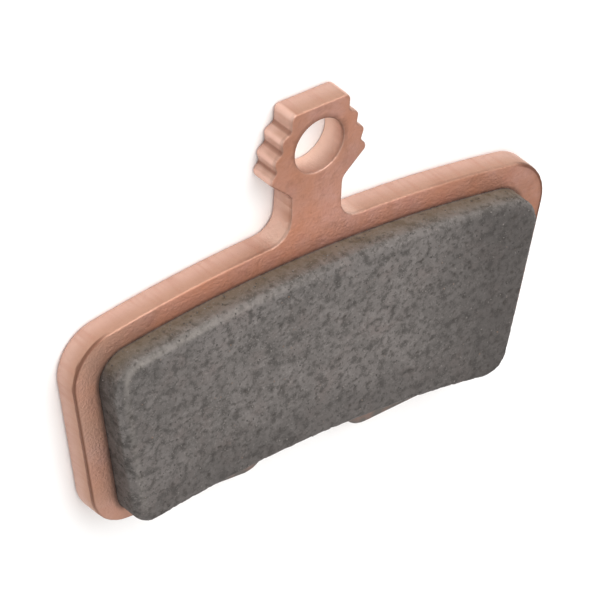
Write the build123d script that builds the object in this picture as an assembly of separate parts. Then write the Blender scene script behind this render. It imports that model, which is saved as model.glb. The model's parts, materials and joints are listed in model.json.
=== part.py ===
from build123d import *
import os
from math import cos, radians, sin, sqrt, tan

# Bicycle disc brake pad: a stamped steel plate with a toothed tab, and a sintered lining keyed into it.
# Millimetres. X runs along the pad, Y towards the tab, Z from the plate's back to the lining's face.
# The origin is on the axis of the pin hole, level with the back of the plate.

# Plate body, with distances down from the pin axis
plate_thickness = 2.0
plate_width = 38.0
pin_to_rotor_axis = 101.4
pin_to_top_edge = 6.4
pin_to_notch = 21.72
pin_to_lobes = 23.42
side_taper = 11.2
lobe_slope = 3.0
upper_corner_radius = 3.2
lower_corner_radius = 3.0

# Notch between the two lobes of the lower edge
notch_mouth_width = 8.3
notch_floor_width = 5.0
notch_lip_radius = 1.8
notch_root_radius = 1.2

# Tab, with heights measured from the pin axis
pin_hole_diameter = 3.9
neck_width = 4.1
neck_top = -3.2
neck_root_radius = 1.5
neck_flare_radius = 0.8

# Teeth down each side of the tab, stepped along an arc whose centre lies across the tab
tooth_count = 3
tooth_arc_radius = 9.2
tooth_arc_centre_x = -5.1
tooth_arc_centre_y = -2.65
first_tooth_angle = 7.4
tooth_pitch_angle = 9.4
tooth_depth = 0.5
tooth_tip_radius = 0.4
tooth_root_radius = 0.25
shoulder_rise = 0.4
shoulder_run = 0.12

# Key holes, on rays from the rotor's axis: angle of the ray, then distance along it
key_hole_diameter = 3.65
key_inner_ray = 4.18
key_outer_ray = 8.67
key_inner_upper = 90.5
key_inner_lower = 83.9
key_outer_upper = 90.8
key_outer_lower = 84.3
key_middle = 87.4

# Edges left by the press: rolled over round the back, barely broken round the front
back_edge_radius = 0.3
front_edge_chamfer = 0.12

# Friction lining
lining_thickness = 2.0
lining_height = 13.2
lining_top_margin = 1.6
lining_side_margin = 1.8
lining_upper_radius = 2.2
lining_lower_radius = 1.7
lining_edge_bevel = 0.35
key_boss_depth = 0.35
key_boss_clearance = 0.05

rotor_axis = Vector(0, -pin_to_rotor_axis)
top_edge_radius = pin_to_rotor_axis - pin_to_top_edge
side_outward = Vector(cos(radians(side_taper)), -sin(radians(side_taper)))
side_upward = Vector(sin(radians(side_taper)), cos(radians(side_taper)))


def on_ray(angle, distance):
    """Point at a distance from the rotor's axis, on a ray turned from the pad's middle line."""
    return rotor_axis + Vector(sin(radians(angle)), cos(radians(angle))) * distance


def arc_about(centre, start, end):
    """Arc from start to end about a centre, the shorter way round."""
    radius = (start - centre).length
    middle = centre + ((start + end) * 0.5 - centre).normalized() * radius
    return ThreePointArc(start, middle, end)


def upper_corner_centre():
    """Centre of the corner arc that touches the plate's full width and its top edge."""
    x = plate_width / 2 - upper_corner_radius
    reach = top_edge_radius - upper_corner_radius
    return rotor_axis + Vector(x, sqrt(reach**2 - x**2))


def tab_points():
    """Corners of the tab's right half, from the middle of its top down to the neck."""
    centre = Vector(tooth_arc_centre_x, tooth_arc_centre_y)
    half_pitch = tooth_pitch_angle / 2
    teeth = []
    for step in range(2 * tooth_count + 1):
        angle = radians(first_tooth_angle + step * half_pitch)
        reach = tooth_arc_radius - tooth_depth * (step % 2)
        teeth.append(centre + Vector(cos(angle), sin(angle)) * reach)
    shoulder = teeth[-1] + Vector(-shoulder_run, shoulder_rise)
    return [Vector(0, shoulder.Y), shoulder] + teeth[::-1] + [Vector(neck_width / 2, neck_top)]


def tab_line(neck_end):
    """Right edge of the tab, with rounded teeth, ending at the foot of the neck."""
    tooth_radii = [tooth_tip_radius] + [tooth_root_radius, tooth_tip_radius] * tooth_count
    radii = [tooth_tip_radius] + tooth_radii + [neck_flare_radius]
    return FilletPolyline(*tab_points(), neck_end, radius=radii)


def lower_line(side_start):
    """Right side, lower corner and lobe, ending at the middle of the notch."""
    lip = Vector(notch_mouth_width / 2, -pin_to_lobes)
    root = Vector(notch_floor_width / 2, -pin_to_notch)
    slope = tan(radians(lobe_slope))
    drop = side_start.Y - lip.Y - (side_start.X - lip.X) * slope
    corner = side_start - side_upward * (drop / (side_upward.Y - side_upward.X * slope))
    radii = [lower_corner_radius, notch_lip_radius, notch_root_radius]
    return FilletPolyline(side_start, corner, lip, root, Vector(0, -pin_to_notch), radius=radii)


def plate_outline():
    """Closed face of the plate without its holes, symmetric about the pad's middle line."""
    root_x = neck_width / 2 + neck_root_radius
    root_reach = top_edge_radius + neck_root_radius
    neck_root = rotor_axis + Vector(root_x, sqrt(root_reach**2 - root_x**2))
    neck_end = neck_root - Vector(neck_root_radius, 0)
    corner = upper_corner_centre()
    top_start = rotor_axis + (neck_root - rotor_axis).normalized() * top_edge_radius
    top_end = rotor_axis + (corner - rotor_axis).normalized() * top_edge_radius
    side_start = corner + side_outward * upper_corner_radius
    half = [
        tab_line(neck_end),
        arc_about(neck_root, neck_end, top_start),
        arc_about(rotor_axis, top_start, top_end),
        arc_about(corner, top_end, side_start),
        lower_line(side_start),
    ]
    edges = [edge for line in half for edge in line.edges()]
    return make_face(edges + [edge.mirror(Plane.YZ) for edge in edges])


def lining_outline():
    """Closed face of the lining: arcs about the rotor's axis, and sides parallel to the plate's."""
    outer = top_edge_radius - lining_top_margin
    inner = outer - lining_height
    plate_side = (upper_corner_centre() - rotor_axis).dot(side_outward) + upper_corner_radius
    lining_side = plate_side - lining_side_margin

    def side_meets(radius):
        return rotor_axis + side_outward * lining_side + side_upward * sqrt(radius**2 - lining_side**2)

    upper, lower = side_meets(outer), side_meets(inner)
    upper_left, lower_left = Vector(-upper.X, upper.Y), Vector(-lower.X, lower.Y)
    face = make_face(
        [
            arc_about(rotor_axis, upper_left, upper).edge(),
            Line(upper, lower).edge(),
            arc_about(rotor_axis, lower, lower_left).edge(),
            Line(lower_left, upper_left).edge(),
        ]
    )
    by_height = face.vertices().sort_by(Axis.Y)
    face = fillet(by_height[:2], lining_lower_radius)
    by_height = face.vertices().sort_by(Axis.Y)
    return fillet(by_height[-2:], lining_upper_radius)


def key_hole_centres():
    """Centres of the nine key holes: a middle one, and two columns of two on each side."""
    columns = [
        (key_inner_ray, key_inner_upper, key_inner_lower),
        (key_outer_ray, key_outer_upper, key_outer_lower),
    ]
    centres = [on_ray(0, key_middle)]
    for ray, upper, lower in columns:
        for side in (-1, 1):
            centres += [on_ray(side * ray, upper), on_ray(side * ray, lower)]
    return centres


def backing_plate():
    plate = extrude(plate_outline(), plate_thickness)
    faces = plate.faces().sort_by(Axis.Z)
    plate = fillet(faces[0].outer_wire().edges(), back_edge_radius)
    faces = plate.faces().sort_by(Axis.Z)
    plate = chamfer(faces[-1].outer_wire().edges(), front_edge_chamfer)
    through_cut = 3 * plate_thickness
    for centre in key_hole_centres():
        plate -= Pos(centre.X, centre.Y) * Cylinder(key_hole_diameter / 2, through_cut)
    return plate - Cylinder(pin_hole_diameter / 2, through_cut)


def friction_lining():
    block = Pos(0, 0, plate_thickness) * extrude(lining_outline(), lining_thickness)
    face = block.faces().sort_by(Axis.Z)[-1]
    block = chamfer(face.outer_wire().edges(), lining_edge_bevel)
    boss_radius = key_hole_diameter / 2 - key_boss_clearance
    boss = Cylinder(boss_radius, key_boss_depth, align=(Align.CENTER, Align.CENTER, Align.MAX))
    for centre in key_hole_centres():
        block += Pos(centre.X, centre.Y, plate_thickness) * boss
    return block


os.makedirs("parts", exist_ok=True)
nodes = {"backing_plate": backing_plate(), "friction_lining": friction_lining()}
for name, shape in nodes.items():
    size = [round(length, 2) for length in shape.bounding_box().size]
    print(name, "volume", round(shape.volume, 1), "size", size, "solids", len(shape.solids()))
    export_step(shape, f"parts/{name}.step")
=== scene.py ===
import json
import math

import bmesh
import bpy
import numpy as np
from mathutils import Matrix, Vector, noise
from mathutils.geometry import delaunay_2d_cdt
from mathutils.kdtree import KDTree


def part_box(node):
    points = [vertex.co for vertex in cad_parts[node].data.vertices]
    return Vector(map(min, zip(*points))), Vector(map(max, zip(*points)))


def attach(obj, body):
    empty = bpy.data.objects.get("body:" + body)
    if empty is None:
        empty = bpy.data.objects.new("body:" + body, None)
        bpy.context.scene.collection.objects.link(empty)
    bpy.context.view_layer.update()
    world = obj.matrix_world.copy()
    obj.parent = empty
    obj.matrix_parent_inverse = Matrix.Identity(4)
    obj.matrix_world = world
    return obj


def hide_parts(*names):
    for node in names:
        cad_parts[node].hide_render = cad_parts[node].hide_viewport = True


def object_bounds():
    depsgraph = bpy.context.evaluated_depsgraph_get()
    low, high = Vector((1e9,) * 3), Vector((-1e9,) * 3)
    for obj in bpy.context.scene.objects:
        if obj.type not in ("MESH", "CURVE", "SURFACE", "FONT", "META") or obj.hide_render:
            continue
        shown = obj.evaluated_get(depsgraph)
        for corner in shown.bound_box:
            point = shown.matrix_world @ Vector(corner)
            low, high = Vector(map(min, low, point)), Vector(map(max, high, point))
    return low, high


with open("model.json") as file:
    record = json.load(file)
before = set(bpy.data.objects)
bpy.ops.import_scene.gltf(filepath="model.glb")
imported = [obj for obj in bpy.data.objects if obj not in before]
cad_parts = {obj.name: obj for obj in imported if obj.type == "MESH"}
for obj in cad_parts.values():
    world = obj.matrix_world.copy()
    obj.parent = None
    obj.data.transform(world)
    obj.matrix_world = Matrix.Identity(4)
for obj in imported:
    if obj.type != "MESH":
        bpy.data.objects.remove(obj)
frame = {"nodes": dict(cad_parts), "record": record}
cadLow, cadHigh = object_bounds()
mm = 0.001  # the frame is in metres, the sizes in the dictionaries are millimetres
print("frame loaded, box in mm", [round(v / mm, 2) for v in (*cadLow, *cadHigh)])


# sRGB hex to the linear colour that shaders take
def linear(hexColour):
    channels = [int(hexColour[i:i + 2], 16) / 255 for i in (1, 3, 5)]
    return [c / 12.92 if c <= 0.04045 else ((c + 0.055) / 1.055) ** 2.4 for c in channels] + [1.0]


# a node with its settings; an input is a value or what feeds it, a socket or a node's first output,
# and goes by number where sockets share a name; stops are a colour ramp's
def addNode(tree, kind, inputs=None, stops=(), **settings):
    node = tree.nodes.new(kind)
    for name, value in settings.items():
        setattr(node, name, value)
    for name, value in (inputs or {}).items():
        if isinstance(value, bpy.types.Node):
            value = value.outputs[0]
        if isinstance(value, bpy.types.NodeSocket):
            tree.links.new(value, node.inputs[name])
        else:
            node.inputs[name].default_value = value
    for index, (position, hexColour) in enumerate(stops):
        elements = node.color_ramp.elements
        stop = elements[index] if index < len(elements) else elements.new(position)
        stop.position = position
        stop.color = linear(hexColour)
    return node


# texture scale for a pattern whose features are so many millimetres apart
def scaleFor(sizeMm):
    return 1 / (sizeMm * mm)


# an empty material, with its tree and its object coordinates
def newMaterial(name):
    material = bpy.data.materials.new(name)
    material.use_nodes = True
    tree = material.node_tree
    tree.nodes.clear()
    return material, tree, addNode(tree, "ShaderNodeTexCoord").outputs["Object"]


# a drifting ground colour, with noise spots and then the piece's own marks laid over it
def layeredColour(tree, place, finish):
    drift = addNode(tree, "ShaderNodeTexNoise", {
        "Vector": place, "Scale": scaleFor(finish["driftSize"]), "Detail": 4.0, "Roughness": 0.6})
    ground = addNode(tree, "ShaderNodeValToRGB", {"Fac": drift}, finish["driftColours"])
    layers = []
    for size, (low, high), most, hexColour in finish["spots"]:
        spots = addNode(tree, "ShaderNodeTexNoise", {
            "Vector": place, "Scale": scaleFor(size), "Detail": 5.0, "Roughness": 0.66})
        amount = addNode(tree, "ShaderNodeMapRange", {
            "Value": spots, "From Min": low, "From Max": high, "To Min": 0.0, "To Max": most})
        layers.append((amount, hexColour))
    for mark, hexColour in finish["marks"]:
        layers.append((addNode(tree, "ShaderNodeAttribute", attribute_name=mark).outputs["Fac"], hexColour))
    colour = ground
    for amount, hexColour in layers:
        mix = addNode(tree, "ShaderNodeMix", {
            "Factor": amount, 6: colour, 7: linear(hexColour)}, data_type="RGBA")
        colour = mix.outputs[2]
    return colour, drift


plateFinish = {
    "driftSize": 3.2,  # orange and pink drifts in the plating
    "driftColours": [(0.33, "#CF967C"), (0.5, "#D49E89"), (0.67, "#DBA99B")],
    "spots": [  # size, range of the noise that shows, strongest amount, colour
        (1.5, (0.54, 0.76), 0.4, "#C68272"),  # redder copper
        (1.2, (0.53, 0.80), 0.45, "#8F624C"),  # brown tarnish
        (0.34, (0.60, 0.74), 0.3, "#8A5E4A"),  # small pits, dark with it
    ],
    "marks": [
        ("thinPlating", "#BE9F8D"),  # greyer at one end, where the copper is thin
        ("tarnish", "#8C664D"),  # browner at the other end and on the tab
        ("backTarnish", "#957064"),  # and on the back
        ("shearWall", "#BA937F"),  # duller on the sheared walls
        ("paintedWallLight", "#D5B3A5"),  # but painted reflection pales them towards the back, and painted light up the tab's toothed sides
        ("shearStreak", "#B5826E"),  # with streaks down them
        ("paintedBoreAndRootLight", "#F5DACB"),  # painted light in the pin hole and at the neck's roots
        ("toothHighlight", "#E6C1B1"),  # painted highlights on the tips of the teeth
        ("toothRootShade", "#8F6553"),  # and painted shade in their roots
        ("edgeLineAndRimShade", "#6A4333"),  # dark fracture line along the front edge and inside the rolled edge; painted shade round the pin hole's upper rim
        ("liningShadow", "#7B7570"),  # painted shadow of the lining on the margin below it, most by the notch
        ("footDustAndShade", "#474340"),  # compound dust and painted shade round the lining's foot
        ("soot", "#2E2521"),  # walls of the key holes, black from the furnace
    ],
    "peelSize": 0.22,  # tumbled skin, drawn coarser than it is so that it shows
    "rollLength": 2.5,  # rolling lines of the sheet, long
    "rollWidth": 0.12,  # and narrow
    "rollShare": 0.2,  # nearly tumbled away
    "roughness": (0.46, 0.64),
    "bump": 0.08,
}


# Copper-plated stamped steel, tumbled: a soft satin metal, orange in places and pink in others,
# paler down its sheared walls by painted reflection and dark along the line where the shear broke through.
def copperPlatedSteel():
    size = plateFinish
    material, tree, place = newMaterial("copperPlatedSteel")
    colour, drift = layeredColour(tree, place, size)
    peel = addNode(tree, "ShaderNodeTexNoise", {
        "Vector": place, "Scale": scaleFor(size["peelSize"]), "Detail": 3.0, "Roughness": 0.55})
    length, width = scaleFor(size["rollLength"]), scaleFor(size["rollWidth"])
    along = addNode(tree, "ShaderNodeMapping", {"Vector": place, "Scale": (length, width, length)})
    rolled = addNode(tree, "ShaderNodeTexNoise", {
        "Vector": along, "Scale": 1.0, "Detail": 2.0})
    skin = addNode(tree, "ShaderNodeMath", {
        0: rolled, 1: size["rollShare"], 2: peel}, operation="MULTIPLY_ADD")
    bump = addNode(tree, "ShaderNodeBump", {
        "Height": skin, "Strength": 0.6, "Distance": size["bump"] * mm})
    low, high = size["roughness"]
    rough = addNode(tree, "ShaderNodeMapRange", {
        "Value": drift, "From Min": 0.3, "From Max": 0.7, "To Min": high, "To Max": low})
    shader = addNode(tree, "ShaderNodeBsdfPrincipled", {
        "Base Color": colour, "Metallic": 1.0, "Roughness": rough,
        "Normal": bump})
    addNode(tree, "ShaderNodeOutputMaterial", {"Surface": shader})
    return material


liningFinish = {
    "driftSize": 6.0,  # slow drift from dark to light grey
    "driftColours": [(0.38, "#67625F"), (0.62, "#736D6A")],
    "spots": [
        (2.6, (0.50, 0.66), 0.45, "#766B67"),  # rosy patches
        (2.0, (0.50, 0.60), 0.4, "#5A5653"),  # dark clouds, rich in graphite
        (1.0, (0.51, 0.59), 0.5, "#7F7976"),  # iron powder
        (0.8, (0.50, 0.61), 0.8, "#4A4643"),  # graphite
        (0.36, (0.52, 0.62), 0.7, "#4A4643"),  # and its finer flecks
        (0.2, (0.56, 0.63), 0.4, "#97908C"),  # bright specks of iron
    ],
    "marks": [
        ("furnaceSkin", "#403C3A"),  # darker towards the ends and the lower edge
        ("upperDustAndShade", "#6E5F46"),  # brown dust film on the upper wall, with painted shade at its foot
        ("sideSkinAndShade", "#3F3934"),  # end and lower walls, dark as they left the die and with painted shade; and the boss ends in the key holes
        ("shoulderHighlight", "#979089"),  # painted highlight on the shoulder of the face
        ("pore", "#403B37"),
    ],
    "grainSize": 0.3,  # pressed powder grains
    "roughness": 0.82,
    "sheen": 0.25,  # dry, with little gloss
    "bump": 0.05,
}


# Sintered metal friction compound, pressed and ground: a dry grey, speckled with graphite
# and iron powder, darker down in its pores and on the walls that the die left, partly as painted shade.
def sinteredCompound():
    size = liningFinish
    material, tree, place = newMaterial("sinteredMetalCompound")
    colour, _ = layeredColour(tree, place, size)
    grain = addNode(tree, "ShaderNodeTexNoise", {
        "Vector": place, "Scale": scaleFor(size["grainSize"]), "Detail": 4.0, "Roughness": 0.7})
    bump = addNode(tree, "ShaderNodeBump", {
        "Height": grain, "Strength": 0.6, "Distance": size["bump"] * mm})
    shader = addNode(tree, "ShaderNodeBsdfPrincipled", {
        "Base Color": colour, "Metallic": 0.15, "Roughness": size["roughness"],
        "Specular IOR Level": size["sheen"], "Normal": bump})
    addNode(tree, "ShaderNodeOutputMaterial", {"Surface": shader})
    return material


# Coarse powder grains that stand in the lining's skin: graphite black, iron grey and a little bronze
def powderGrain():
    material, tree, _ = newMaterial("powderGrain")
    tone = addNode(tree, "ShaderNodeAttribute", attribute_name="grainTone")
    ramp = addNode(tree, "ShaderNodeValToRGB", {"Fac": tone.outputs["Fac"]}, [
        (0.0, "#3F3B39"), (0.4, "#504C49"), (0.7, "#69645F"), (0.93, "#7C7671"), (1.0, "#7C6454")])
    shader = addNode(tree, "ShaderNodeBsdfPrincipled", {
        "Base Color": ramp, "Metallic": 0.15, "Roughness": 0.8})
    addNode(tree, "ShaderNodeOutputMaterial", {"Surface": shader})
    return material


copper = copperPlatedSteel()
compound = sinteredCompound()
grainMaterial = powderGrain()
print("materials made")


meshSizes = {
    "startTowards": (-3.0, -1.0),  # furthest corner that way starts a sliced loop, alike in every run
    "cadWeld": 0.001,  # corners of a CAD node's loose triangles that are one point
    "weld": 0.002,  # points where a piece's shells meet
    "jitter": 0.3,  # random shift of the points inside a face, in steps
    "clearance": 0.6,  # how far they stay from its edges, in steps
    "inHole": 0.999,  # triangles whose middle lies nearer to a hole's centre go, in radii
}


def lengths(vectors):
    return np.linalg.norm(vectors, axis=1)


def signedArea(loop):
    x, y = loop.T
    return 0.5 * float(np.dot(x, np.roll(y, -1)) - np.dot(y, np.roll(x, -1)))


# closed loops, in millimetres, where a level plane cuts a CAD node, the largest first
def sliceLoops(nodeName, height):
    bm = bmesh.new()
    bm.from_mesh(frame["nodes"][nodeName].data)
    bmesh.ops.remove_doubles(bm, verts=bm.verts, dist=meshSizes["cadWeld"] * mm)
    everything = bm.verts[:] + bm.edges[:] + bm.faces[:]
    cut = bmesh.ops.bisect_plane(bm, geom=everything, plane_co=(0, 0, height * mm), plane_no=(0, 0, 1))
    edges = {e for e in cut["geom_cut"] if isinstance(e, bmesh.types.BMEdge)}
    loops = []
    while edges:
        first = edges.pop()
        corners, at = [first.verts[0]], first.verts[1]
        while at is not corners[0]:
            corners.append(at)
            edge = next(e for e in at.link_edges if e in edges)
            edges.remove(edge)
            at = edge.other_vert(at)
        loop = np.array([v.co.xy for v in corners]) / mm
        loop = loop if signedArea(loop) > 0 else loop[::-1]
        start = np.argmax(loop @ meshSizes["startTowards"])
        loops.append(np.roll(loop, -start, axis=0))
    bm.free()
    return sorted(loops, key=signedArea, reverse=True)


# the same loop with even steps and its facets eased
def evenLoop(loop, step):
    closed = np.vstack([loop, loop[:1]])
    run = np.concatenate([[0], np.cumsum(lengths(np.diff(closed, axis=0)))])
    marks = np.linspace(0, run[-1], round(run[-1] / step), endpoint=False)
    even = np.column_stack([np.interp(marks, run, closed[:, axis]) for axis in (0, 1)])
    return (np.roll(even, 1, 0) + 2 * even + np.roll(even, -1, 0)) / 4


# unit vectors across a loop, out of the material
def outwardOf(loop):
    along = np.roll(loop, -1, 0) - np.roll(loop, 1, 0)
    across = np.column_stack([along[:, 1], -along[:, 0]])
    return across / lengths(across)[:, None]


# how sharply a loop turns at each point, per millimetre: positive where it juts out,
# averaged over so many steps each way
def bendOf(loop, spread=1):
    along = np.roll(loop, -1, 0) - loop
    angle = np.unwrap(np.arctan2(along[:, 1], along[:, 0]))
    turn = (angle - np.roll(angle, 1) + math.pi) % (2 * math.pi) - math.pi
    bend = turn / lengths(along)
    return np.mean([np.roll(bend, shift) for shift in range(-spread, spread + 1)], axis=0)


# centre and radius of a sliced circle
def circleOf(loop):
    rows = np.column_stack([2 * loop, np.ones(len(loop))])
    x, y, rest = np.linalg.lstsq(rows, (loop**2).sum(1), rcond=None)[0]
    return np.array([x, y]), math.sqrt(rest + x * x + y * y)


# a round loop; clockwise, so that the material lies outside it
def holeLoop(centre, radius, count):
    angles = -np.linspace(0, 2 * math.pi, count, endpoint=False)
    return centre + radius * np.column_stack([np.cos(angles), np.sin(angles)])


# nearest point of a loop to each point: its index and how far off it is
def nearestOn(loop, points):
    tree = KDTree(len(loop))
    for index, point in enumerate(loop):
        tree.insert((*point, 0), index)
    tree.balance()
    found = [tree.find((x, y, 0)) for x, y in points]
    return np.array([f[1] for f in found]), np.array([f[2] for f in found])


# rings up a loop, one for each (inset, height) of the profile
def skirt(loop, profile):
    outward, count = outwardOf(loop), len(loop)
    rings = [np.column_stack([loop - outward * inset, np.full(count, height)]) for inset, height in profile]
    here = np.arange(count)
    ahead = (here + 1) % count
    quads = [np.column_stack([here, ahead, ahead + count, here + count]) + count * level
             for level in range(len(profile) - 1)]
    return np.vstack(rings), np.vstack(quads).tolist()


# scattered points inside a loop, clear of its edge and of the round holes
def innerPoints(loop, holes, step, random, extra):
    jitter, clear = meshSizes["jitter"], meshSizes["clearance"] * step
    low, high = loop.min(0), loop.max(0)
    grid = np.mgrid[low[0]:high[0]:step, low[1]:high[1]:step].reshape(2, -1).T
    grid = np.vstack([grid + random.uniform(-jitter, jitter, grid.shape) * step, *extra])
    near, _ = nearestOn(loop, grid)
    keep = ((grid - loop[near]) * outwardOf(loop)[near]).sum(1) < -clear
    for centre, radius in holes:
        keep &= lengths(grid - centre) > radius + clear
    return grid[keep]


# a flat face with round holes, as triangles, with extra points where it needs them
def fillFace(loop, holes, segments, height, step, random, facesUp=True, extra=()):
    rims = [loop] + [holeLoop(centre, radius, segments) for centre, radius in holes]
    points = np.vstack([*rims, innerPoints(loop, holes, step, random, extra)])
    edges, start = [], 0
    for rim in rims:
        edges += [(start + i, start + (i + 1) % len(rim)) for i in range(len(rim))]
        start += len(rim)
    insideOnly, samePoint = 1, 1e-7  # no triangles outside the rims, and when two points are one
    flat, _, triangles, *_ = delaunay_2d_cdt(
        [Vector(p) for p in points], edges, [], insideOnly, samePoint)
    flat = np.array([tuple(p) for p in flat])
    triangles = np.array([t if facesUp else t[::-1] for t in triangles])
    middles = flat[triangles].mean(1)
    inHole = np.zeros(len(triangles), bool)
    for centre, radius in holes:
        inHole |= lengths(middles - centre) < radius * meshSizes["inHole"]
    return np.column_stack([flat, np.full(len(flat), height)]), triangles[~inHole].tolist()


# shells, in millimetres, joined into one mesh and welded where they meet
def weld(name, shells, meshes=()):
    bm = bmesh.new()
    for points, faces in shells:
        verts = [bm.verts.new(p) for p in points * mm]
        for face in faces:
            bm.faces.new([verts[i] for i in face])
    for mesh in meshes:
        bm.from_mesh(mesh)
    bmesh.ops.remove_doubles(bm, verts=bm.verts, dist=meshSizes["weld"] * mm)
    loose = [v for v in bm.verts if not v.link_faces]
    bmesh.ops.delete(bm, geom=loose, context="VERTS")
    for face in bm.faces:
        face.smooth = True
    openEdges = sum(not e.is_manifold for e in bm.edges)
    mesh = bpy.data.meshes.new(name)
    bm.to_mesh(mesh)
    bm.free()
    print(name, len(mesh.polygons), "faces,", openEdges, "open edges")
    return mesh


# a mesh's points in millimetres, and back again
def pointsOf(mesh):
    points = np.empty(len(mesh.vertices) * 3)
    mesh.vertices.foreach_get("co", points)
    return points.reshape(-1, 3) / mm


def setPoints(mesh, points):
    mesh.vertices.foreach_set("co", (points * mm).ravel())
    mesh.update()


def normalsOf(mesh):
    normals = np.empty(len(mesh.vertices) * 3, np.float32)
    mesh.vertex_normals.foreach_get("vector", normals)
    return normals.reshape(-1, 3)


# a value for each point, which the materials read by name
def setMark(mesh, name, values):
    clipped = np.clip(values, 0, 1).astype(np.float32)
    mesh.attributes.new(name, "FLOAT", "POINT").data.foreach_set("value", clipped)


# smooth random values added up in layers: share, millimetres between features along all axes
# or each, and a shift that sets the layer apart
def ripples(points, layers):
    total = np.zeros(len(points))
    for share, spacing, shift in layers:
        scaled = points / np.asarray(spacing) + shift
        total += share * np.array([noise.noise(Vector(p)) for p in scaled])
    return total


# eased step from 0 to 1 as the value goes from low to high
def ease(value, low, high):
    share = np.clip((value - low) / (high - low), 0, 1)
    return share * share * (3 - 2 * share)


# the same, up to an amount
def rising(value, amount, start, full):
    return amount * ease(value, start, full)


def addObject(name, data):
    thing = bpy.data.objects.new(name, data)
    bpy.context.scene.collection.objects.link(thing)
    return thing


# runs a Geometry Nodes tree over a mesh and keeps its result as a plain mesh
def grow(tree, source, values):
    holder = addObject("holder", source)
    modifier = holder.modifiers.new("grow", "NODES")
    modifier.node_group = tree
    for item in tree.interface.items_tree:
        if item.in_out == "INPUT" and item.name in values:
            modifier[item.identifier] = values[item.name]
    graph = bpy.context.evaluated_depsgraph_get()
    mesh = bpy.data.meshes.new_from_object(holder.evaluated_get(graph))
    holder.modifiers.remove(modifier)
    bpy.data.objects.remove(holder)
    return mesh


# a new tree with inputs for geometry, a material and named sizes and counts
def newTree(name, sizes, counts):
    tree = bpy.data.node_groups.new(name, "GeometryNodeTree")
    tree.interface.new_socket("Geometry", in_out="OUTPUT", socket_type="NodeSocketGeometry")
    kinds = {"Geometry": ["Geometry"], "Float": sizes, "Int": counts, "Material": ["Material"]}
    for kind, labels in kinds.items():
        for label in labels:
            tree.interface.new_socket(label, in_out="INPUT", socket_type="NodeSocket" + kind)
    return tree, addNode(tree, "NodeGroupInput").outputs


# the last nodes of every tree: copies made real, and dressed
def endTree(tree, copies, material):
    solid = addNode(tree, "GeometryNodeRealizeInstances", {"Geometry": copies})
    dressed = addNode(tree, "GeometryNodeSetMaterial", {"Geometry": solid, "Material": material})
    addNode(tree, "NodeGroupOutput", {"Geometry": dressed})
    return tree


# finishes a piece: material, body and the CAD node it stands for
def finishPiece(name, mesh, material, node=None):
    mesh.materials.clear()
    mesh.materials.append(material)
    piece = addObject(name, mesh)
    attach(piece, "root")
    if node:
        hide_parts(node)
    return piece


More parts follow.
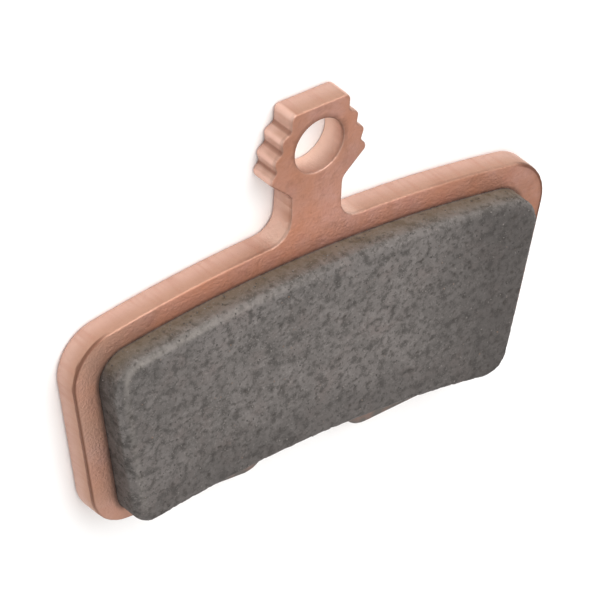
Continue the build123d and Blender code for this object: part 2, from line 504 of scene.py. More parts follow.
plateSizes = {
    "backRoll": 0.3,  # edge rolled over by the die, on the back
    "frontBreak": 0.12,  # burr taken off by tumbling, on the front
    "rimRoll": 0.12,  # rounded mouths of the holes
    "edgeStep": 0.12,  # between points along the outline
    "faceStep": 0.3,  # and on the flat faces
    "rollRows": 7,  # rows of points round the rolled edge
    "wallRows": 13,  # and up the wall
    "wallBunching": 1.6,  # closer together near the front
    "frontRows": (0.06, 0.14),  # further in than the front edge
    "footRows": (-0.05, 0.1, 0.22, 0.36),  # round the lining's foot, out from it
    "holeSegments": 72,
    "holeRings": 14,
    "holeBunching": 3.0,  # closer together at the back
    "flatPower": 4,  # how sharply flat faces are told from walls
    "wave": 0.010,  # unevenness of the flat faces
    "waveRipples": ((1.0, 2.4, 0.0), (0.5, 0.9, 7.0)),  # layers: share, spacing, shift
    "shear": 0.012,  # streaks down the sheared walls
    "shearRipples": ((1.0, (0.34, 0.34, 2.2), 3.0),),
    "hollows": 1.4,  # only the hollows of both are kept, and deepened
    "fracture": (0.12, 0.03),  # broken band under the front edge: width on the wall, roughness
    "fractureReach": (0.3, 0.05),  # from the outline: where it starts and is full
    "fractureRipples": ((1.0, (0.26, 0.26, 0.6), 9.0),),
    "nicks": 14,  # small dents along the edges
    "nickDepth": (0.015, 0.04),
    "nickReach": (0.12, 0.30),
    "seed": 11,
    # marks for the material; a pair of places is where a mark starts and where it is full
    "frontDepth": (0.35, 0.1),  # below the front: what counts as the front face
    "outerWall": (0.4, 0.3),  # from the outline: what counts as its wall, and not a hole's
    "lineDarkness": (0.0, 0.25),  # dark line along the front edge, which comes and goes
    "lineRipples": ((1.0, 5.0, 2.0),),
    "lineRange": (-0.4, 0.4),  # values of the ripples where it is lightest and darkest
    "lineAtEnds": 0.75,  # it is clearest down the two ends
    "lineEnds": (16.0, 17.5),  # from the middle
    "lineOnWall": (0.09, 0.05),  # from the outline
    "lineWander": ((0.6, 0.9, 4.0),),  # of its lower side, on the wall
    "lineSoftness": 0.06,
    "lineOnFace": (0.15, 0.3),  # how far in it reaches, and how far at one end
    "lineCore": 0.6,  # share of that reach where it is full
    "lineDepth": (0.2, 0.1),  # below the front
    "rimDarkness": 0.4,  # painted shade round the upper half of the pin hole
    "rimReach": (0.3, 0.1),  # from the hole
    "rimDepth": (0.4, 0.15),  # below the front
    "rimUpper": (-0.9, 0.2),  # up from the hole's centre, in radii
    "boreLight": 0.95,  # painted light on the wall of the pin hole
    "boreReach": (0.08, 0.02),  # from the hole
    "boreDepth": (-0.05, 0.9),  # below the front, in thicknesses
    "rootLight": 0.45,  # painted light where the neck meets the body
    "rootPlace": (-6.0, 2.0),  # how far up that is, and how far it goes either way
    "rootBend": (-0.05, -0.55),  # of the outline
    "rootSpread": 8,  # steps each way over which that bend is averaged
    "toothMarks": 0.75,  # painted highlights on the tips and painted shade in the roots of the teeth
    "toothBend": (1.0, 2.4),  # of the outline, outwards at the tips and inwards at the roots
    "thinPlating": (0.5, -11.0, -16.0),  # amount, and places along the pad
    "endTarnish": (0.32, 8.0, 17.0),  # the same, at the other end
    "tabTarnish": (0.25, -6.0, -2.0),  # amount, and places up the tab
    "frontRipples": ((0.5, 2.6, 61.0),),  # unevenness of all three
    "paintedWallLight": (0.85, 1.8, 0.3),  # amount, and places down the wall
    "tabWallLight": (0.6, -4.5, -3.0),  # painted light makes the toothed sides of the tab paler all the way up
    "streaks": 0.4,  # down the sheared walls
    "streakRipples": ((1.0, (0.22, 0.22, 2.5), 31.0), (0.6, (1.1, 1.1, 6.0), 37.0)),
    "footTurn": (0.5, 0.9),  # how much of the lining's outward direction makes an end or a lower edge
    "footDustAndShadeReach": (0.22, 0.4),  # compound dust and painted shade round the lining's foot, above it and at its ends
    "footDustAndShadeAmount": (0.6, 0.12),  # above the lining and below it
    "liningShadowAmount": 0.96,  # painted shadow on the narrow margin below the lining
    "liningShadowRipples": ((0.35, 0.7, 21.0), (0.3, 2.1, 23.0)),
    "liningShadowEnds": (16.0, 9.5),  # from the middle
    "backTarnish": (0.05, 0.65),  # from one end to the other
    "backEnds": (-15.0, 15.0),
    "backClouds": 0.25,
    "cloudRipples": ((1.0, 9.0, 51.0), (1.0, 1.1, 53.0)),
    "backLine": (0.45, -14.0, -16.0),  # dark line inside the rolled edge: amount, places along the pad
    "backLineBand": (0.2, 0.35, 0.45, 0.7),  # from the outline: it starts, is full, fades and is gone
    "smear": (5.6, -22.6),  # dark smear at a lip of the notch, on the back
    "smearReach": (2.2, 1.1),  # along the pad and up it
    "smearFade": (1.0, 0.3),  # from its middle, as shares of its reach
    "smearAmount": 0.35,
    "sootAmount": 0.9,  # in the key holes
    "sootReach": (0.1, 0.02),  # from a hole
    "sootDepth": (0.1, 0.6),  # below its mouth
}


# Walls of the key holes: a tube for each centre, its mouth rolled out at the back
def keyHoleTree():
    tree, size = newTree("keyHoleWalls", ["Radius", "Depth", "Mouth", "Bunching"], ["Segments", "Rings"])
    tube = addNode(tree, "GeometryNodeMeshCylinder", {
        "Vertices": size["Segments"], "Side Segments": size["Rings"], "Radius": size["Radius"],
        "Depth": 1.0}, fill_type="NONE")
    at = addNode(tree, "ShaderNodeSeparateXYZ", {0: addNode(tree, "GeometryNodeInputPosition")})
    share = addNode(tree, "ShaderNodeMath", {0: at.outputs["Z"], 1: 0.5}, operation="ADD")
    bunched = addNode(tree, "ShaderNodeMath", {0: share, 1: size["Bunching"]}, operation="POWER")
    height = addNode(tree, "ShaderNodeMath", {0: bunched, 1: size["Depth"]}, operation="MULTIPLY")
    inMouth = addNode(tree, "ShaderNodeMapRange", {
        "Value": height, "From Min": 0.0, "From Max": size["Mouth"], "To Min": 1.0, "To Max": 0.0})
    squared = addNode(tree, "ShaderNodeMath", {0: inMouth, 1: inMouth}, operation="MULTIPLY")
    rest = addNode(tree, "ShaderNodeMath", {0: 1.0, 1: squared}, operation="SUBTRACT")
    cosine = addNode(tree, "ShaderNodeMath", {0: rest}, operation="SQRT")
    flare = addNode(tree, "ShaderNodeMath", {0: 1.0, 1: cosine}, operation="SUBTRACT")
    extra = addNode(tree, "ShaderNodeMath", {0: flare, 1: size["Mouth"]}, operation="MULTIPLY")
    ratio = addNode(tree, "ShaderNodeMath", {0: extra, 1: size["Radius"]}, operation="DIVIDE")
    grown = addNode(tree, "ShaderNodeMath", {0: ratio, 1: 1.0}, operation="ADD")
    x, y = (addNode(tree, "ShaderNodeMath", {0: at.outputs[axis], 1: grown}, operation="MULTIPLY")
            for axis in "XY")
    place = addNode(tree, "ShaderNodeCombineXYZ", {"X": x, "Y": y, "Z": height})
    shaped = addNode(tree, "GeometryNodeSetPosition", {"Geometry": tube, "Position": place})
    inward = addNode(tree, "GeometryNodeFlipFaces", {"Mesh": shaped})
    copies = addNode(tree, "GeometryNodeInstanceOnPoints", {"Points": size["Geometry"], "Instance": inward})
    return endTree(tree, copies, size["Material"])


# points at the centres of the key holes, as a mesh of loose vertices
def centrePoints(centres, height):
    mesh = bpy.data.meshes.new("centres")
    mesh.from_pydata([(x * mm, y * mm, height * mm) for x, y in centres], [], [])
    return mesh


# rolled edge at the back, sheared wall, broken edge at the front: (inset, height) up the rim
def edgeProfile(thickness, backRoll, frontBreak):
    turns = np.linspace(0, math.pi / 2, plateSizes["rollRows"])
    back = [(backRoll * (1 - math.sin(a)), backRoll * (1 - math.cos(a))) for a in turns]
    front = [(frontBreak * (1 - math.cos(a)), thickness - frontBreak * (1 - math.sin(a)))
             for a in turns[::2]]
    rises = 1 - np.linspace(1, 0, plateSizes["wallRows"])[1:-1] ** plateSizes["wallBunching"]
    wall = [(0.0, backRoll + rise * (thickness - frontBreak - backRoll)) for rise in rises]
    return back + wall + front


plateLow, plateHigh = (np.array(corner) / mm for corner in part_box("backing_plate"))
plateThickness = plateHigh[2] - plateLow[2]
pinRadius = next(m for m in frame["record"]["mounts"] if m["name"] == "pin_hole")["dims"]["r_mm"]
plateLoop, *roundLoops = sliceLoops("backing_plate", plateThickness / 2)
circles = [circleOf(loop) for loop in roundLoops]
pinHole = min(circles, key=lambda c: np.linalg.norm(c[0]))
keyHoles = sorted((c for c in circles if c is not pinHole), key=lambda c: tuple(c[0]))
keyRadius = float(np.mean([radius for _, radius in keyHoles]))
print("plate outline", len(plateLoop), "points,", len(keyHoles), "key holes of radius", round(keyRadius, 3))

liningLow, liningHigh = (np.array(corner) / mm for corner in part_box("friction_lining"))
liningLoop = sliceLoops("friction_lining", (plateHigh[2] + liningHigh[2]) / 2)[0]
bossRadius = circleOf(sliceLoops("friction_lining", (liningLow[2] + plateHigh[2]) / 2)[0])[1]
foot = evenLoop(liningLoop, plateSizes["edgeStep"])  # of the lining, on the plate


# marks that the plate's material reads, from where each point lies
def markPlate(mesh, points, wall, fromEdge, bend, sweep, sideways):
    size = plateSizes
    x, y, height = points.T
    level, depth = points * (1, 1, 0), plateThickness - height
    onBack, onFront = ease(height, size["backRoll"], 0.0), ease(depth, *size["frontDepth"])
    outer = wall * ease(fromEdge, *size["outerWall"])

    # dark lines along the front edge and inside the rolled edge, and painted shade round the pin hole
    band = size["frontBreak"] + size["fracture"][0] * (1 + ripples(level, size["lineWander"]))
    onWall = ease(depth, band + size["lineSoftness"], band) * ease(fromEdge, *size["lineOnWall"])
    atEnds = ease(np.abs(x), *size["lineEnds"])
    reach = np.interp(atEnds * (x > 0), (0, 1), size["lineOnFace"])
    onFace = ease(depth, *size["lineDepth"]) * ease(fromEdge, reach, size["lineCore"] * reach)
    darkness = np.interp(ripples(level, size["lineRipples"]), size["lineRange"], size["lineDarkness"])
    frontLine = np.maximum(onWall, onFace) * np.maximum(darkness, atEnds * size["lineAtEnds"])
    fromPin = lengths(points[:, :2] - pinHole[0]) - pinRadius
    rim = ease(fromPin, *size["rimReach"]) * ease(depth, *size["rimDepth"])
    rim *= ease(y / pinRadius, *size["rimUpper"]) * size["rimDarkness"]
    starts, full, fades, gone = size["backLineBand"]
    backLine = onBack * ease(fromEdge, starts, full) * ease(fromEdge, gone, fades)
    backLine *= rising(x, *size["backLine"])
    setMark(mesh, "edgeLineAndRimShade", np.max([frontLine, rim, backLine], axis=0))

    # painted light and shade on the bore, the neck's roots, the teeth and the walls, and the walls' own
    # duller tone and streaks
    inBore = ease(fromPin, *size["boreReach"]) * ease(depth / plateThickness, *size["boreDepth"])
    rootHeight, eitherWay = size["rootPlace"]
    neckRoot = outer * ease(sweep, *size["rootBend"]) * (np.abs(y - rootHeight) < eitherWay)
    setMark(mesh, "paintedBoreAndRootLight", np.maximum(inBore * size["boreLight"], neckRoot * size["rootLight"]))
    setMark(mesh, "toothHighlight", outer * ease(bend, *size["toothBend"]) * size["toothMarks"])
    setMark(mesh, "toothRootShade", outer * ease(-bend, *size["toothBend"]) * size["toothMarks"])
    setMark(mesh, "shearWall", wall)
    tabWallLight = rising(y, *size["tabWallLight"]) * sideways
    setMark(mesh, "paintedWallLight", wall * np.maximum(rising(height, *size["paintedWallLight"]), tabWallLight))
    setMark(mesh, "shearStreak", wall * size["streaks"] * ripples(points, size["streakRipples"]))

    # tarnish and a smear on the back, soot in the key holes
    clouds = size["backClouds"] * ripples(points, size["cloudRipples"])
    setMark(mesh, "backTarnish", onBack * (clouds + np.interp(x, size["backEnds"], size["backTarnish"])))
    fromKeys = np.min([lengths(points[:, :2] - c) - r for c, r in keyHoles], axis=0)
    soot = ease(fromKeys, *size["sootReach"]) * ease(height, *size["sootDepth"]) * size["sootAmount"]
    fromSmear = lengths((points[:, :2] - size["smear"]) / size["smearReach"])
    smear = onBack * ease(fromSmear, *size["smearFade"]) * size["smearAmount"]
    setMark(mesh, "soot", soot + smear)

    # thin and brown plating on the front, compound dust and painted shade round the lining's foot, painted
    # shadow below it
    uneven = onFront * (1 + ripples(points, size["frontRipples"]))
    brown = np.maximum(rising(x, *size["endTarnish"]), rising(y, *size["tabTarnish"]))
    setMark(mesh, "thinPlating", uneven * rising(x, *size["thinPlating"]))
    setMark(mesh, "tarnish", uneven * brown)
    near, fromFoot = nearestOn(foot, points[:, :2])
    facing = outwardOf(foot)[near]
    below = ease(-facing[:, 1], *size["footTurn"])
    footDustAndShadeReach = np.interp(np.abs(facing[:, 0]), size["footTurn"], size["footDustAndShadeReach"])
    footDustAndShade = np.interp(below, (0, 1), size["footDustAndShadeAmount"])
    setMark(mesh, "footDustAndShade", ease(fromFoot, footDustAndShadeReach, 0.0) * footDustAndShade * onFront)
    shadowOnMargin = size["liningShadowAmount"] * (1 + ripples(points, size["liningShadowRipples"]))
    setMark(mesh, "liningShadow", shadowOnMargin * below * ease(np.abs(x), *size["liningShadowEnds"]) * onFront)


def buildPlate():
    size = plateSizes
    random = np.random.default_rng(size["seed"])
    loop = evenLoop(plateLoop, size["edgeStep"])
    profile = edgeProfile(plateThickness, size["backRoll"], size["frontBreak"])
    profile += [(size["frontBreak"] + further, plateThickness) for further in size["frontRows"]]
    pinLoop = holeLoop(pinHole[0], pinRadius, size["holeSegments"])
    pinProfile = edgeProfile(plateThickness, size["rimRoll"], size["rimRoll"])
    backRim, frontRim = (loop - outwardOf(loop) * profile[end][0] for end in (0, -1))
    shells = [skirt(loop, profile), skirt(pinLoop, pinProfile)]
    mouth = keyRadius + size["rimRoll"]
    pinMouth = (pinHole[0], pinRadius + size["rimRoll"])
    wide = [(c, mouth) for c, _ in keyHoles] + [pinMouth]
    tight = [(c, keyRadius) for c, _ in keyHoles] + [pinMouth]
    footRows = [foot + outwardOf(foot) * out for out in size["footRows"]]
    for rim, holes, height, up, extra in (
            (backRim, wide, 0.0, False, ()), (frontRim, tight, plateThickness, True, footRows)):
        shells.append(fillFace(
            rim, holes, size["holeSegments"], height, size["faceStep"], random, up, extra))
    walls = grow(keyHoleTree(), centrePoints([c for c, _ in keyHoles], 0.0), {
        "Radius": keyRadius * mm, "Depth": plateThickness * mm, "Mouth": size["rimRoll"] * mm,
        "Segments": size["holeSegments"], "Rings": size["holeRings"], "Bunching": size["holeBunching"],
        "Material": copper})
    mesh = weld("backingPlate", shells, [walls])

    points, normals = pointsOf(mesh), normalsOf(mesh)
    flat = np.abs(normals[:, 2]) ** size["flatPower"]
    near, fromEdge = nearestOn(loop, points[:, :2])
    waves = size["wave"] * ripples(points, size["waveRipples"]) * flat
    streaks = size["shear"] * ripples(points, size["shearRipples"]) * (1 - flat)
    lift = np.minimum(waves + streaks, 0.0) * size["hollows"]
    bandWidth, bandDepth = size["fracture"]
    broken = ease(plateThickness - points[:, 2], size["frontBreak"] + 2 * bandWidth, bandWidth)
    broken *= ease(fromEdge, *size["fractureReach"]) * (1 - flat)
    lift -= bandDepth * (1 + ripples(points, size["fractureRipples"])) / 2 * broken
    for _ in range(size["nicks"]):
        x, y = loop[random.integers(len(loop))]
        z = plateThickness * random.integers(2)
        reach, depth = random.uniform(*size["nickReach"]), random.uniform(*size["nickDepth"])
        lift -= depth * ease(lengths(points - (x, y, z)), reach, 0.0)
    setPoints(mesh, points + normals * lift[:, None])
    bend, sweep = bendOf(loop)[near], bendOf(loop, size["rootSpread"])[near]
    markPlate(mesh, points, 1 - flat, fromEdge, bend, sweep, np.abs(outwardOf(loop)[near][:, 0]))
    finishPiece("backingPlate", mesh, copper, "backing_plate")


buildPlate()
print("plate built")


liningSizes = {
    "bevel": 0.35,  # round the face
    "bevelRound": 0.12,  # its soft turn on to the face
    "bevelRows": (0.12, 0.88, 5),  # rows of points up it: first and last share, and how many
    "bevelTurn": (0.02, 0.012),  # row where it turns: further in, and below the face
    "wallRows": 13,  # up the straight wall
    "edgeStep": 0.13,  # between points along the outline
    "faceStep": 0.12,  # on the face
    "backStep": 0.9,  # and on the back, which the plate hides
    "seated": 0.02,  # points this near to the plate stay on it
    "grainDepth": 0.02,  # of the pressed powder
    "grainRipples": ((1.0, 0.3, 0.0), (0.6, 0.16, 5.0)),  # layers: share, spacing, shift
    "dieStreak": 0.015,  # lines that the die left down the walls
    "dieRipples": ((1.0, (0.24, 0.24, 6.0), 2.0),),
    "poreDepth": 0.07,
    "poreDarkness": 0.6,
    "poreRipples": ((1.0, 0.36, 41.0), (0.5, 0.18, 43.0)),
    "poreFrom": (0.32, 0.75),  # values of the ripples where a pore starts and is deepest
    "edgeRound": (0.09, 0.9),  # worn edge of the face: depth, and how far in it starts
    "crumble": 0.06,  # how deep the bevel crumbles
    "crumbleReach": 0.3,  # and how far past it
    "crumbleRipples": ((1.0, 0.7, 13.0),),
    "bossSegments": 72,
    "bossRings": 9,
    "bossLump": 0.06,
    "bossLumpSize": 0.9,
    "bossLumpy": 0.98,  # share of the radius; the rim stays level and meets the wall
    "seed": 23,
    # marks for the material, with pairs of places as for the plate
    "upperFacing": (0.2, 0.8),  # how much of the outward direction makes an upper edge
    "lowerFacing": (-0.4, -0.9),  # or a lower one
    "highlight": (0.38, 2.0, -12.0),  # amount, and places along the pad
    "highlightRipples": ((0.5, 0.5, 17.0),),
    "highlightFacing": (-0.7, 0.0, 0.7),  # on the lower edge, at the ends and on the upper edge
    "highlightShares": (0.0, 0.55, 1.0),
    "highlightBand": (0.3, 0.7, 1.1),  # from the rim: where the painted highlight starts, is lightest and ends
    "highlightOver": 0.5,  # how much nearer to the rim it lies along the upper edge
    "furnaceSkin": ((0.6, 5.0, 15.0), (0.15, -8.0, -14.0)),  # as for the rub, for each end
    "skinRipples": ((2.0, 4.0, 71.0),),  # how far those places wander
    "lowerSkin": (0.4, 5.0, 1.0),  # amount, and places from the lower rim
    "upperDustAndShade": 0.5,  # dust and painted shade on the upper wall
    "dustAndShadeFull": 0.2,  # above the plate: the dust and painted shade are full below this
    "sideDarkness": 0.3,  # of all walls but the upper one, partly painted shade
    "sideSoftness": 0.1,
    "bossDarkness": 0.85,  # in the key holes
}


# Ends of the bosses that the compound leaves in the key holes: lumpy discs with a short wall
def bossTree():
    tree, size = newTree(
        "keyBosses", ["Radius", "Depth", "Lump", "LumpScale", "Lumpy"], ["Segments", "Rings", "Seed"])
    disc = addNode(tree, "GeometryNodeMeshCone", {
        "Vertices": size["Segments"], "Side Segments": size["Rings"], "Radius Top": 0.0,
        "Radius Bottom": size["Radius"], "Depth": 0.0}, fill_type="NONE")
    at = addNode(tree, "GeometryNodeInputPosition")
    lumps = addNode(tree, "ShaderNodeTexNoise", {"Vector": at, "Scale": size["LumpScale"], "Detail": 3.0})
    rise = addNode(tree, "ShaderNodeMath", {0: lumps, 1: size["Lump"]}, operation="MULTIPLY")
    inward = addNode(tree, "ShaderNodeVectorMath", {0: at}, operation="LENGTH")
    lumpyTo = addNode(tree, "ShaderNodeMath", {0: size["Radius"], 1: size["Lumpy"]}, operation="MULTIPLY")
    inside = addNode(tree, "FunctionNodeCompare", {0: inward.outputs["Value"], 1: lumpyTo},
                     data_type="FLOAT", operation="LESS_THAN")
    lumpy = addNode(tree, "GeometryNodeSetPosition", {
        "Geometry": disc, "Selection": inside, "Offset": addNode(tree, "ShaderNodeCombineXYZ", {"Z": rise})})
    downward = addNode(tree, "GeometryNodeFlipFaces", {"Mesh": lumpy})
    wall = addNode(tree, "GeometryNodeMeshCylinder", {
        "Vertices": size["Segments"], "Side Segments": 3, "Radius": size["Radius"], "Depth": size["Depth"]},
        fill_type="NONE")
    half = addNode(tree, "ShaderNodeMath", {0: size["Depth"], 1: 0.5}, operation="MULTIPLY")
    wallUp = addNode(tree, "GeometryNodeSetPosition", {
        "Geometry": wall, "Offset": addNode(tree, "ShaderNodeCombineXYZ", {"Z": half})})
    both = addNode(tree, "GeometryNodeJoinGeometry")
    for part in (wallUp, downward):
        tree.links.new(part.outputs[0], both.inputs[0])
    whole = addNode(tree, "GeometryNodeMergeByDistance", {
        "Geometry": both, "Distance": meshSizes["weld"] * mm})
    steps = addNode(tree, "FunctionNodeRandomValue", {4: 0, 5: size["Segments"], "Seed": size["Seed"]},
                    data_type="INT")  # each end turned by whole segments, so that the rims still meet
    around = addNode(tree, "ShaderNodeMath", {0: steps.outputs[2], 1: 2 * math.pi}, operation="MULTIPLY")
    angle = addNode(tree, "ShaderNodeMath", {0: around, 1: size["Segments"]}, operation="DIVIDE")
    euler = addNode(tree, "ShaderNodeCombineXYZ", {"Z": angle})
    turn = addNode(tree, "FunctionNodeEulerToRotation", {0: euler})
    copies = addNode(tree, "GeometryNodeInstanceOnPoints", {
        "Points": size["Geometry"], "Instance": whole, "Rotation": turn})
    return endTree(tree, copies, size["Material"])


# straight wall, bevel and a soft turn on to the face: (inset, height) up the rim
def liningProfile(base, top):
    size = liningSizes
    bevel, rounding = size["bevel"], size["bevelRound"]
    further, drop = size["bevelTurn"]
    wall = [(0.0, z) for z in np.linspace(base, top - bevel - rounding, size["wallRows"])]
    slope = [(t * bevel, top - bevel + t * bevel) for t in np.linspace(*size["bevelRows"])]
    return wall + slope + [(bevel + further, top - drop), (bevel + rounding, top)]


# marks that the lining's material reads, from where each point lies
def markLining(mesh, points, inPore, fromRim, facing):
    size = liningSizes
    x, _, height = points.T
    base, top = plateHigh[2], liningHigh[2]
    bevelFoot, soft = top - size["bevel"], size["sideSoftness"]
    onSide, onFace = ease(height, bevelFoot + soft, bevelFoot - soft), ease(height, bevelFoot, top)
    upper = ease(facing, *size["upperFacing"])
    setMark(mesh, "pore", inPore * size["poreDarkness"])
    # painted shade on the walls turned from the key light, with their pressed skin
    dark = onSide * (1 - upper) * size["sideDarkness"]
    setMark(mesh, "sideSkinAndShade", np.where(height < base, size["bossDarkness"], dark))
    # dust and painted shade at the foot of the upper wall
    dustAndShade = ease(height, top, base + size["dustAndShadeFull"]) * (height > base)
    setMark(mesh, "upperDustAndShade", upper * size["upperDustAndShade"] * dustAndShade)

    # painted highlight along the edge of the face
    start, lightest, end = size["highlightBand"]
    over = size["highlightOver"] * upper
    band = ease(fromRim + over, start, lightest) * ease(fromRim + over, end, lightest)
    band *= ease(height, bevelFoot - over, top)
    highlight = rising(x, *size["highlight"]) * (1 + ripples(points, size["highlightRipples"]))
    highlight *= np.interp(facing, size["highlightFacing"], size["highlightShares"])
    setMark(mesh, "shoulderHighlight", band * highlight)

    # dark skin towards the ends and the lower edge
    along = x + ripples(points, size["skinRipples"])
    skins = [rising(along, *skin) for skin in size["furnaceSkin"]]
    skins.append(rising(fromRim, *size["lowerSkin"]) * ease(facing, *size["lowerFacing"]))
    setMark(mesh, "furnaceSkin", np.max(skins, axis=0) * onFace)


def buildLining():
    size = liningSizes
    random = np.random.default_rng(size["seed"])
    base, top = plateHigh[2], liningHigh[2]
    loop = evenLoop(liningLoop, size["edgeStep"])
    profile = liningProfile(base, top)
    rim = loop - outwardOf(loop) * profile[-1][0]
    bosses = [(c, bossRadius) for c, _ in keyHoles]
    shells = [
        skirt(loop, profile),
        fillFace(rim, [], 0, top, size["faceStep"], random),
        fillFace(loop, bosses, size["bossSegments"], base, size["backStep"], random, False),
    ]
    ends = grow(bossTree(), centrePoints([c for c, _ in keyHoles], liningLow[2]), {
        "Radius": bossRadius * mm, "Depth": float(base - liningLow[2]) * mm, "Lump": size["bossLump"] * mm,
        "LumpScale": scaleFor(size["bossLumpSize"]), "Lumpy": size["bossLumpy"],
        "Segments": size["bossSegments"], "Rings": size["bossRings"], "Seed": size["seed"],
        "Material": compound})
    mesh = weld("frictionLining", shells, [ends])

    points, normals = pointsOf(mesh), normalsOf(mesh)
    height = points[:, 2]
    exposed = np.abs(height - base) > size["seated"]
    inPore = ease(ripples(points, size["poreRipples"]), *size["poreFrom"]) * exposed
    wall = (1 - np.abs(normals[:, 2])) ** 2 * (height > base)
    near, fromRim = nearestOn(loop, points[:, :2])
    bevelFoot, worn = top - size["bevel"], size["bevel"] + size["crumbleReach"]
    onBevel = ease(fromRim, worn, size["bevel"]) * ease(height, top - worn, bevelFoot)
    crumbs = np.clip(ripples(points, size["crumbleRipples"]), 0, 1) * onBevel
    depth, reach = size["edgeRound"]
    lift = size["grainDepth"] * np.minimum(ripples(points, size["grainRipples"]) - 1, 0)
    lift += size["dieStreak"] * np.minimum(ripples(points, size["dieRipples"]), 0) * wall
    lift -= size["poreDepth"] * inPore + size["crumble"] * crumbs
    lift -= depth * np.clip(1 - fromRim / reach, 0, 1) ** 2 * ease(height, bevelFoot, top)
    setPoints(mesh, points + normals * (lift * exposed)[:, None])
    markLining(mesh, points, inPore, fromRim, outwardOf(loop)[near][:, 1])
    return finishPiece("frictionLining", mesh, compound, "friction_lining")


lining = buildLining()
print("lining built")


grainSizes = {
    "perSquareMm": 2.2,
    "radius": (0.025, 0.075),  # smallest and largest
    "flatness": 0.5,  # thickness as a share of width
    "spin": ((-0.4, -0.4, 0.0), (0.4, 0.4, 6.28)),  # least and most turn about each axis, in radians
    "floor": 0.15,  # above the plate: none lies lower
    "seed": 5,  # places and tones
    "sizeSeed": 3,
    "spinSeed": 9,
}


# Coarse grains strewn over the lining's face and sides, half sunk in it
def grainTree():
    tree, size = newTree("powderGrains", ["Density", "Smallest", "Largest", "Flatness", "Floor"], [
        "Seed", "SizeSeed", "SpinSeed"])
    height = addNode(tree, "ShaderNodeSeparateXYZ", {0: addNode(tree, "GeometryNodeInputPosition")})
    above = addNode(tree, "FunctionNodeCompare", {0: height.outputs["Z"], 1: size["Floor"]},
                    data_type="FLOAT", operation="GREATER_THAN")
    strewn = addNode(tree, "GeometryNodeDistributePointsOnFaces", {
        "Mesh": size["Geometry"], "Selection": above, "Density": size["Density"],
        "Seed": size["Seed"]}, distribute_method="RANDOM")
    tone = addNode(
        tree, "FunctionNodeRandomValue", {2: 0.0, 3: 1.0, "Seed": size["Seed"]}, data_type="FLOAT")
    toned = addNode(tree, "GeometryNodeStoreNamedAttribute", {
        "Geometry": strewn, "Name": "grainTone", "Value": tone.outputs[1]},
        data_type="FLOAT", domain="POINT")
    radius = addNode(tree, "FunctionNodeRandomValue", {
        2: size["Smallest"], 3: size["Largest"], "Seed": size["SizeSeed"]}, data_type="FLOAT")
    thin = addNode(tree, "ShaderNodeMath", {
        0: radius.outputs[1], 1: size["Flatness"]}, operation="MULTIPLY")
    shape = addNode(tree, "ShaderNodeCombineXYZ", {
        "X": radius.outputs[1], "Y": radius.outputs[1], "Z": thin})
    least, most = grainSizes["spin"]
    spin = addNode(tree, "FunctionNodeRandomValue", {0: least, 1: most, "Seed": size["SpinSeed"]},
                   data_type="FLOAT_VECTOR")
    spun = addNode(tree, "FunctionNodeEulerToRotation", {0: spin})
    turn = addNode(tree, "FunctionNodeRotateRotation", {
        0: strewn.outputs["Rotation"], 1: spun}, rotation_space="LOCAL")
    grain = addNode(tree, "GeometryNodeMeshIcoSphere", {"Radius": 1.0, "Subdivisions": 1})
    copies = addNode(tree, "GeometryNodeInstanceOnPoints", {
        "Points": toned, "Instance": grain, "Rotation": turn, "Scale": shape})
    return endTree(tree, copies, size["Material"])


def buildGrains():
    size = grainSizes
    smallest, largest = size["radius"]
    mesh = grow(grainTree(), lining.data, {
        "Density": size["perSquareMm"] / mm**2, "Smallest": smallest * mm, "Largest": largest * mm,
        "Flatness": size["flatness"], "Floor": float(plateHigh[2] + size["floor"]) * mm,
        "Seed": size["seed"], "SizeSeed": size["sizeSeed"], "SpinSeed": size["spinSeed"],
        "Material": grainMaterial})
    mesh.name = "liningGrains"
    print("grains", len(mesh.polygons), "faces")
    finishPiece("liningGrains", mesh, grainMaterial)


buildGrains()


stageSizes = {
    "floorSide": 6000.0,
    "floorDrop": 0.02,  # below the part
    "floorColour": "#FCFBFA",
    "worldColour": "#FFFFFF",
    "worldStrength": (0.48, 0.93),  # at the horizon and overhead
}


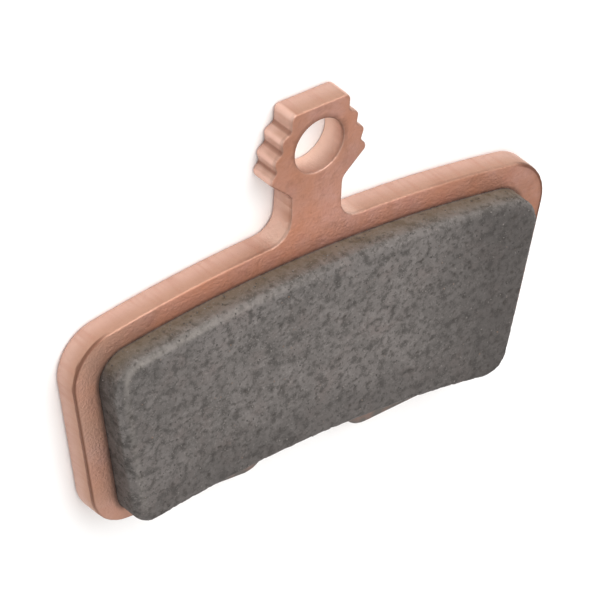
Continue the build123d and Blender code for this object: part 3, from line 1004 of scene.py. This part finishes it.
# Matt studio paper: pale, with no gloss to pick up the lights
def buildStage():
    size = stageSizes
    material, tree, _ = newMaterial("studioPaper")
    shader = addNode(tree, "ShaderNodeBsdfPrincipled", {
        "Base Color": linear(size["floorColour"]), "Roughness": 0.9, "Specular IOR Level": 0.1})
    addNode(tree, "ShaderNodeOutputMaterial", {"Surface": shader})
    half, level = size["floorSide"] / 2 * mm, cadLow.z - size["floorDrop"] * mm
    mesh = bpy.data.meshes.new("floor")
    corners = ((-half, -half), (half, -half), (half, half), (-half, half))
    mesh.from_pydata([(x, y, level) for x, y in corners], [], [(0, 1, 2, 3)])
    mesh.materials.append(material)
    floor = addObject("floor", mesh)
    world = bpy.data.worlds.new("studio")
    bpy.context.scene.world = world
    world.use_nodes = True
    tree = world.node_tree
    tree.nodes.clear()
    direction = addNode(tree, "ShaderNodeTexCoord").outputs["Generated"]
    upward = addNode(tree, "ShaderNodeSeparateXYZ", {0: direction}).outputs["Z"]
    horizon, overhead = size["worldStrength"]
    strength = addNode(tree, "ShaderNodeMapRange", {
        "Value": upward, "From Min": 0.0, "From Max": 1.0, "To Min": horizon, "To Max": overhead})
    background = addNode(tree, "ShaderNodeBackground", {
        "Color": linear(size["worldColour"]), "Strength": strength})
    addNode(tree, "ShaderNodeOutputWorld", {"Surface": background})


buildStage()


lights = {  # place in millimetres from the pad's middle, side of the square lamp, watts
    "key": {"place": (60, 430, 300), "side": 600, "watts": 2.5},
    "overhead": {"place": (-120, -60, 520), "side": 600, "watts": 0.6},
}


def aimed(place, target, up=Vector((0, 0, 1))):
    back = (place - target).normalized()
    right = up.cross(back).normalized()
    return Matrix((right, back.cross(right), back)).transposed().to_4x4()


padMiddle = (cadLow + cadHigh) / 2
for name, lamp in lights.items():
    data = bpy.data.lights.new(name, "AREA")
    data.size = lamp["side"] * mm
    data.energy = lamp["watts"]
    light = addObject(name, data)
    place = padMiddle + Vector(lamp["place"]) * mm
    light.matrix_world = Matrix.Translation(place) @ aimed(place, padMiddle)
print("stage and lights set")


cameraSizes = {
    "towards": (-0.5286, 0.5726, 0.6267),  # from the pad to the camera
    "pictureUp": (0.312, 0.838, -0.447),  # the tab points up in the picture
    "distance": 646.0,
    "sensor": 36.0,
    "frameWidth": 38.0,  # what the picture takes in at the pad, in millimetres
    "middle": (-1.0, -11.4, 2.0),
}


def buildCamera():
    size = cameraSizes
    data = bpy.data.cameras.new("camera")
    data.sensor_width = size["sensor"]
    data.lens = size["sensor"] * size["distance"] / size["frameWidth"]
    camera = addObject("camera", data)
    target = Vector(size["middle"]) * mm
    place = target + Vector(size["towards"]).normalized() * size["distance"] * mm
    camera.matrix_world = Matrix.Translation(place) @ aimed(place, target, Vector(size["pictureUp"]))
    bpy.context.scene.camera = camera


buildCamera()
bpy.context.scene.view_settings.view_transform = "Standard"
print("camera set")
